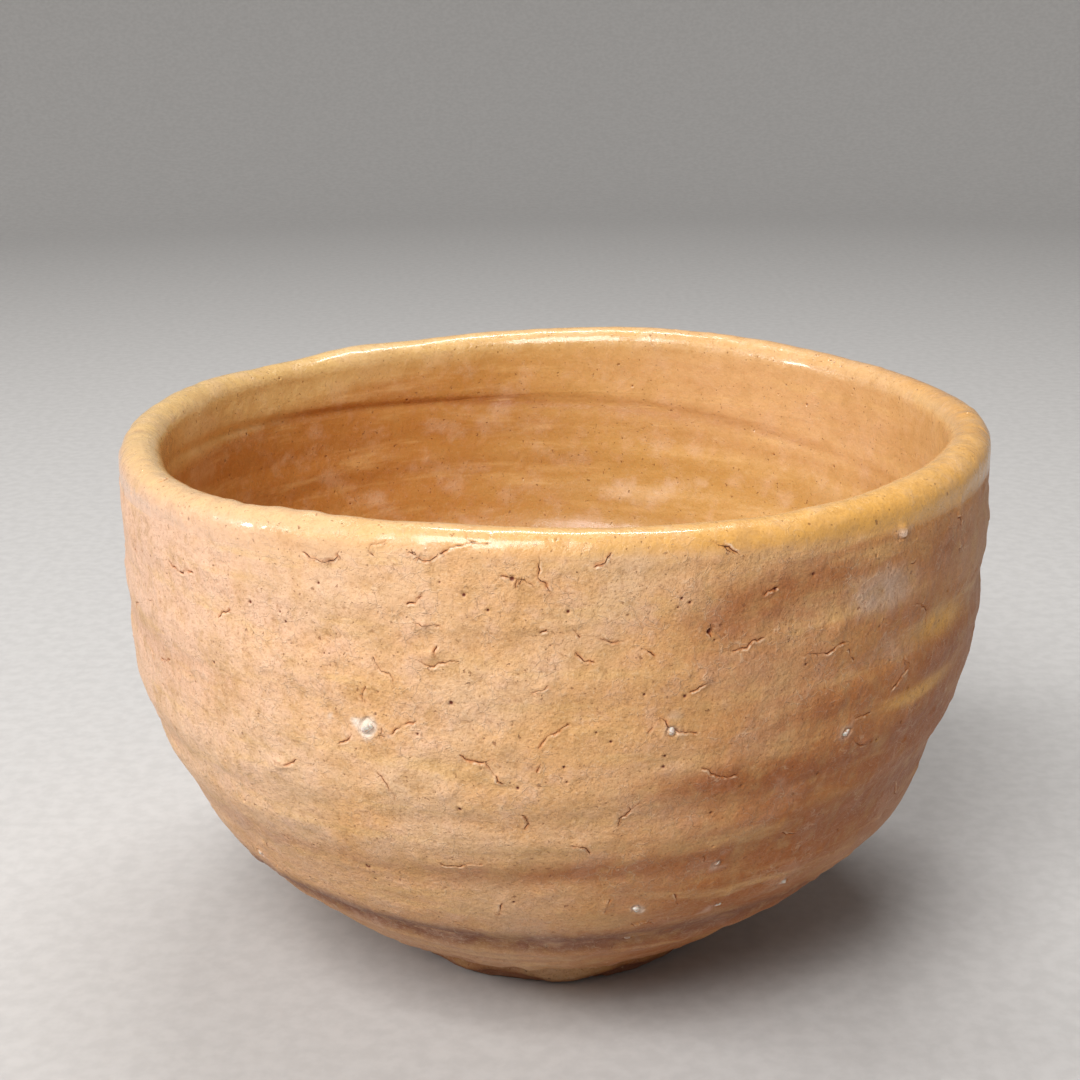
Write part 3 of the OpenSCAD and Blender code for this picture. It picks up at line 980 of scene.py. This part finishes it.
class Value:
    """What a socket of a shader node gives. Values add, subtract and multiply like numbers."""

    def __init__(self, tree, socket):
        self.tree = tree
        self.socket = socket

    def maths(self, operation, *others):
        inputs = dict(enumerate([self, *others]))
        return node(self.tree, "Math", inputs, operation=operation)

    def __add__(self, other):
        return self.maths("ADD", other)

    def __sub__(self, other):
        return self.maths("SUBTRACT", other)

    def __rsub__(self, other):
        return node(self.tree, "Math", {0: other, 1: self}, operation="SUBTRACT")

    def __mul__(self, other):
        return self.maths("MULTIPLY", other)

    def ramp(self, start, end, low=0.0, high=1.0):
        """The value mapped softly from start..end to low..high."""
        inputs = {"Value": self, "From Min": start, "From Max": end, "To Min": low, "To Max": high}
        return node(self.tree, "MapRange", inputs, interpolation_type="SMOOTHSTEP")


def node(tree, kind, inputs, output=0, **settings):
    """The value of a new shader node, with each input set to a constant or linked to a value."""
    new = tree.nodes.new("ShaderNode" + kind)
    for label, setting in settings.items():
        setattr(new, label, setting)
    for label, value in inputs.items():
        if isinstance(value, Value):
            tree.links.new(value.socket, new.inputs[label])
        else:
            new.inputs[label].default_value = value
    return Value(tree, new.outputs[output])


def mix(share, first, second):
    """The first colour with a share of the second."""
    return node(share.tree, "Mix", {0: share, 6: first, 7: second}, 2, data_type="RGBA")


def mask(tree, label):
    return node(tree, "Attribute", {}, "Fac", attribute_name=label)


def coordinates(tree, x=1000, y=1000, z=1000):
    """Object coordinates in millimetres, or stretched."""
    spot = node(tree, "TexCoord", {}, "Object")
    return node(tree, "Mapping", {"Vector": spot, "Scale": (x, y, z)})


def cloud(spot, scale, detail=4.0, rough=0.55, bend=0.0):
    inputs = {"Vector": spot, "Scale": scale, "Detail": detail, "Roughness": rough, "Distortion": bend}
    return node(spot.tree, "TexNoise", inputs)


def edges(spot, scale):
    """The distance to the nearest edge of a net of cells."""
    inputs = {"Vector": spot, "Scale": scale}
    return node(spot.tree, "TexVoronoi", inputs, "Distance", feature="DISTANCE_TO_EDGE")


def new_material(name):
    material = bpy.data.materials.new(name)
    material.use_nodes = True
    tree = material.node_tree
    return material, tree, tree.nodes["Principled BSDF"]


def wire(shader, colour, rough, height, depth):
    """Links colour, roughness and bump to the shader. depth is the bump's depth in millimetres."""
    tree = colour.tree
    bump = node(tree, "Bump", {"Strength": 1.0, "Distance": depth * MM, "Height": height})
    for label, value in [("Base Color", colour), ("Roughness", rough), ("Normal", bump)]:
        tree.links.new(value.socket, shader.inputs[label])


# ---------------------------------------------------------------- materials

TAN = tint(0.86, 0.70, 0.54)
ORANGE = tint(0.85, 0.645, 0.43)
PINK = tint(0.88, 0.715, 0.60)
WARM = tint(0.76, 0.51, 0.26)
YELLOW = tint(0.88, 0.71, 0.47)
OCHRE = tint(0.865, 0.64, 0.31)
BROWN = tint(0.60, 0.335, 0.14)
UMBER = tint(0.58, 0.38, 0.20)
GREY = tint(0.74, 0.61, 0.52)
CREAM = tint(0.91, 0.80, 0.67)
INSIDE = tint(0.775, 0.595, 0.335)
INSIDE_WARM = tint(0.715, 0.465, 0.20)
SPECK = tint(0.48, 0.26, 0.11)
RUST = tint(0.74, 0.42, 0.19)
CRACK = tint(0.30, 0.11, 0.045)
HOLE = tint(0.40, 0.15, 0.06)
SHADE_BROWN = tint(0.63, 0.35, 0.115)
PURPLE = tint(0.44, 0.245, 0.15)
OLIVE = tint(0.71, 0.535, 0.32)
PEARL = tint(0.95, 0.91, 0.86)
PEACH = tint(0.86, 0.68, 0.475)
STRAW = tint(0.85, 0.70, 0.45)


def glaze_material(name, coat, coat_rough):
    """Satin glaze: clouds, painted shade, wheel streaks, grain, specks, pale threads and rusty cracks."""
    material, tree, shader = new_material(name)
    spot = coordinates(tree)
    big = cloud(spot, 0.055, 4, 0.6, 0.4)
    middle = cloud(spot, 0.17, 5, 0.6)
    soft = cloud(spot, 0.42, 4, 0.6, 0.15)
    small = cloud(spot, 1.1, 4, 0.65)
    fine = cloud(spot, 2.9, 3, 0.6)
    streak = cloud(coordinates(tree, 160, 160, 1300), 0.32, 4, 0.6, 0.3)
    # Patterns that swing about zero, to break up the edges of the masks.
    soft_swing = soft.maths("MULTIPLY_ADD", 0.35, -0.175)
    wide_swing = middle.maths("MULTIPLY_ADD", 0.5, -0.25)

    def washed(base, *washes):
        """A colour under washes of [mask, start, end, tint], each broken up at its edge."""
        for label, start, end, wash in washes:
            broken = mask(tree, label) + soft_swing + wide_swing
            base = mix(broken.ramp(start, end), base, wash)
        return base

    inside = mask(tree, "inside")
    colour = mix(big.ramp(0.35, 0.65), TAN, ORANGE)
    # Pink and warm tones, then the painted shade of the right side and the bottom.
    colour = washed(
        colour, ["pink_and_painted_light", 0.15, 1.1, PINK], ["warm", 0.2, 1.15, WARM], ["shade_and_browning", 0.05, 1.15, SHADE_BROWN]
    )
    lining = washed(INSIDE, ["warm", 0.2, 1.0, INSIDE_WARM])
    lining = mix(middle.ramp(0.45, 0.8, 0, 0.3), lining, CREAM)
    # Peach on the inner right wall above the groove, partly painted light, and cream clouds.
    lining = washed(lining, ["pink_and_painted_light", 0.1, 1.0, PEACH], ["cream", 0.2, 0.9, CREAM])
    colour = mix(inside, colour, lining)
    colour = mix(streak.ramp(0.5, 0.72, 0, 0.5), colour, YELLOW)
    colour = mix(streak.ramp(0.5, 0.22, 0, 0.14), colour, BROWN)
    colour = washed(
        colour, ["brown_and_shade", 0.12, 0.95, BROWN], ["grey", 0.15, 0.85, GREY],
        ["purple_and_shade", 0.15, 1.15, PURPLE], ["ochre", 0.15, 1.05, OCHRE], ["straw", 0.1, 1.15, STRAW],
    )
    relief = mask(tree, "relief")
    # Browner in the hollows and paler on the ridges of the relief: partly thicker and thinner glaze,
    # partly painted shade and highlight.
    colour = mix(relief.ramp(-0.05, -0.6, 0, 0.22), colour, BROWN)
    colour = mix(relief.ramp(0.1, 0.6, 0, 0.16), colour, CREAM)

    # The grain is weaker on the inside and under the gloss, and pale grain also where the glaze is dark,
    # from its own patches and from painted shade.
    grainy = 1.0 - (inside * 0.65).maths("MAXIMUM", mask(tree, "gloss") * 0.5)
    shade = (mask(tree, "shade_and_browning") + mask(tree, "brown_and_shade")).ramp(0.1, 1.0, 1.0, 0.4)
    # Grain: [pattern, value where it starts, value where it is full, share, tint].
    grains = [
        [middle, 0.5, 0.3, 0.45, OLIVE], [middle, 0.5, 0.7, 0.45, PINK],
        [soft, 0.5, 0.28, 0.45, OLIVE], [soft, 0.52, 0.75, 0.35, PINK],
        [small, 0.48, 0.28, 0.35, UMBER], [small, 0.55, 0.75, 0.25, CREAM],
        [fine, 0.46, 0.3, 0.45, UMBER], [fine, 0.56, 0.72, 0.3, CREAM],
    ]
    for pattern, start, end, share, grain in grains:
        strength = pattern.ramp(start, end, 0, share) * grainy
        if grain in (PINK, CREAM):
            strength = strength * shade
        colour = mix(strength, colour, grain)
    specks = cloud(spot, 2.1, 2, 0.5).ramp(0.68, 0.74)
    dots = cloud(spot, 1.15, 2, 0.5).ramp(0.70, 0.76)
    colour = mix(specks * 0.55, colour, SPECK)
    colour = mix(dots * 0.6, colour, SPECK)

    # Pale threads along the edges of a net of bent cells.
    wave = node(tree, "TexNoise", {"Vector": spot, "Scale": 0.5, "Detail": 2.0}, "Color")
    wave = node(tree, "VectorMath", {0: wave, 1: (3.0, 3.0, 3.0)}, operation="MULTIPLY")
    bent = node(tree, "VectorMath", {0: spot, 1: wave}, operation="ADD")
    net = edges(bent, 0.45).ramp(0.03, 0.006)
    threads = net * middle.ramp(0.42, 0.6, 0.0, 0.24) * grainy
    colour = mix(threads, colour, CREAM)

    # Each crack has rust round it, a pale flaked edge along its raised side that is partly a painted
    # highlight, and a dark line in the middle.
    colour = mix(mask(tree, "rust") * 0.75, colour, RUST)
    signed = mask(tree, "crack_side")
    power = mask(tree, "crack_power")
    flake_and_highlight = signed.ramp(0.08, 0.16) * signed.ramp(0.42, 0.24)
    flake_and_highlight = flake_and_highlight * (power * small.ramp(0.4, 0.6, 0, 0.7))
    colour = mix(flake_and_highlight, colour, CREAM)
    edge = signed.maths("ABSOLUTE").maths("DIVIDE", power.ramp(0.0, 1.0, 0.022, 0.065))
    line = edge.ramp(1.0, 0.2) * power.ramp(0.04, 0.5, 0.0, 0.95) * small.ramp(0.36, 0.56, 0.3, 1.0)
    colour = mix(line, colour, CRACK)
    colour = mix(mask(tree, "hole").ramp(0.25, 0.8), colour, HOLE)
    colour = mix(mask(tree, "halo") * 0.7, colour, PEARL)

    rough = soft.ramp(0.2, 0.8, 0.5, 0.68) - mask(tree, "gloss") * 0.3 - inside * 0.16 + line * 0.3
    height = (small + fine * 0.35 + soft * 0.9) * grainy + soft * 0.5 - dots * 0.3 - specks * 0.15
    height = height + threads * 0.9 - line * 0.6
    wire(shader, colour, rough, height, 0.25)
    shader.inputs["Specular IOR Level"].default_value = 0.3
    shader.inputs["Coat Weight"].default_value = coat
    shader.inputs["Coat Roughness"].default_value = coat_rough
    return material


def clay_material(name, light, dark):
    """Bare sandy clay: grog, iron specks, and the darker marks of the trimming tool."""
    material, tree, shader = new_material(name)
    spot = coordinates(tree)
    small = cloud(spot, 0.9, 5, 0.7)
    fine = cloud(spot, 3.2, 4, 0.7)
    colour = mix(cloud(spot, 0.12, 4).ramp(0.35, 0.65), light, dark)
    colour = mix(mask(tree, "scrape").ramp(-0.6, 1.0, 0, 0.35), colour, BROWN)
    colour = mix(small.ramp(0.42, 0.25, 0, 0.6), colour, SPECK)
    colour = mix(small.ramp(0.62, 0.75, 0, 0.7), colour, CREAM)
    colour = mix(fine.ramp(0.6, 0.72, 0, 0.6), colour, SPECK)
    wire(shader, colour, small.ramp(0.2, 0.8, 0.72, 0.95), small + fine * 0.8, 0.25)
    return material


def stone_material():
    """Pearly broken feldspar with rusty stains in its cracks."""
    material, tree, shader = new_material("feldspar")
    spot = coordinates(tree)
    small = cloud(spot, 1.6, 4, 0.6)
    veins = edges(spot, 1.1).ramp(0.05, 0.01)
    colour = mix(small.ramp(0.35, 0.7), tint(0.76, 0.71, 0.65), tint(0.93, 0.90, 0.86))
    colour = mix(mask(tree, "stain").ramp(0.5, 0.95, 0, 0.6), colour, tint(0.62, 0.45, 0.34))
    colour = mix(veins * 0.5, colour, RUST)
    wire(shader, colour, small.ramp(0.3, 0.7, 0.32, 0.6), small - veins * 0.4, 0.08)
    shader.inputs["Subsurface Weight"].default_value = 0.2
    shader.inputs["Subsurface Scale"].default_value = 0.4 * MM
    return material


# Each glaze: [piece, name of its material and node, weight of its clear coat, roughness of the coat].
GLAZES = [
    [outer_skin, "outer_glaze", 0.12, 0.2], [inner_skin, "inner_glaze", 0.35, 0.15],
    [lip_skin, "lip_glaze", 0.5, 0.13], [run_down, "foot_glaze", 0.2, 0.25],
]
for skin, label, coat, coat_rough in GLAZES:
    finish_piece(skin, glaze_material(label, coat, coat_rough), label, label)
body_clay = clay_material("fired_clay", tint(0.72, 0.50, 0.36), tint(0.58, 0.37, 0.25))
foot_clay = clay_material("foot_clay", tint(0.64, 0.43, 0.31), tint(0.48, 0.30, 0.21))
finish_piece(clay, body_clay, "fired_clay", "clay_body")
finish_piece(foot, foot_clay, "foot_clay", "foot_ring")
finish_piece(stones, stone_material(), "feldspar", "feldspar_grains")


# ---------------------------------------------------------------- stage, lights and camera

def studio_floor():
    """A round pale floor that curves up into a low wall, so no horizon shows. Sizes in metres."""
    flat, bend, wall = 0.8, 0.45, 0.3
    arc = np.linspace(0, 90, 19)
    r = np.concatenate([[0.001, 0.1, 0.3, 0.5], flat + bend * sin(arc), [flat + bend]])
    z = np.concatenate([np.zeros(4), bend - bend * cos(arc), [bend + wall]])
    turn, row, faces = sheet_between(96, len(r) - 1, False)
    row = row.astype(int)
    points = around(turn, r[row], z[row])
    faces += caps(turn, row, 0)
    mesh = bpy.data.meshes.new("studio_floor")
    mesh.from_pydata(points.tolist(), [], faces)
    mesh.polygons.foreach_set("use_smooth", [True] * len(faces))
    floor = put("studio_floor", mesh)
    material, tree, shader = new_material("paper")
    spot = coordinates(tree, 40, 40, 40)
    colour = mix(cloud(spot, 9, 3).ramp(0.3, 0.7), tint(0.71, 0.70, 0.69), tint(0.74, 0.73, 0.72))
    tree.links.new(colour.socket, shader.inputs["Base Color"])
    shader.inputs["Roughness"].default_value = 0.85
    mesh.materials.append(material)


def area_light(name, position, size, power):
    """A rectangular light, placed and sized in metres and aimed at the middle of the bowl."""
    lamp = bpy.data.lights.new(name, "AREA")
    lamp.shape = "RECTANGLE"
    lamp.size, lamp.size_y = size
    lamp.energy = power
    holder = put(name, lamp)
    holder.location = position
    aim = Vector((0, 0, 0.045)) - Vector(position)
    holder.rotation_euler = aim.to_track_quat("-Z", "Y").to_euler()
    holder.visible_camera = False


def world_light(strength):
    world = bpy.data.worlds.new("studio")
    world.use_nodes = True
    back = world.node_tree.nodes["Background"]
    back.inputs["Color"].default_value = (1, 0.985, 0.97, 1)
    back.inputs["Strength"].default_value = strength
    bpy.context.scene.world = world


def add_camera():
    """The camera stands close before the bowl and looks down on it a little."""
    data = bpy.data.cameras.new("camera")
    data.sensor_width = 36
    data.lens = 60
    data.clip_start = 0.01
    camera = put("camera", data)
    pitch, roll = -17.43, -0.84
    tip = Euler((np.radians(90 + pitch), 0, 0)).to_matrix().to_4x4()
    look = tip @ Matrix.Rotation(np.radians(roll), 4, "Z")
    camera.matrix_world = Matrix.Translation(Vector((-1.18, -246.35, 135.13)) * MM) @ look
    bpy.context.scene.camera = camera


studio_floor()
area_light("soft_key", (-0.28, -0.63, 0.80), (0.5, 0.5), 11.3)
area_light("left_window", (-0.74, -0.09, 0.36), (0.12, 0.14), 2.1)
area_light("ceiling", (0.04, 0.24, 0.74), (0.42, 0.05), 3)
world_light(0.17)
add_camera()
bpy.context.scene.view_settings.view_transform = "Standard"
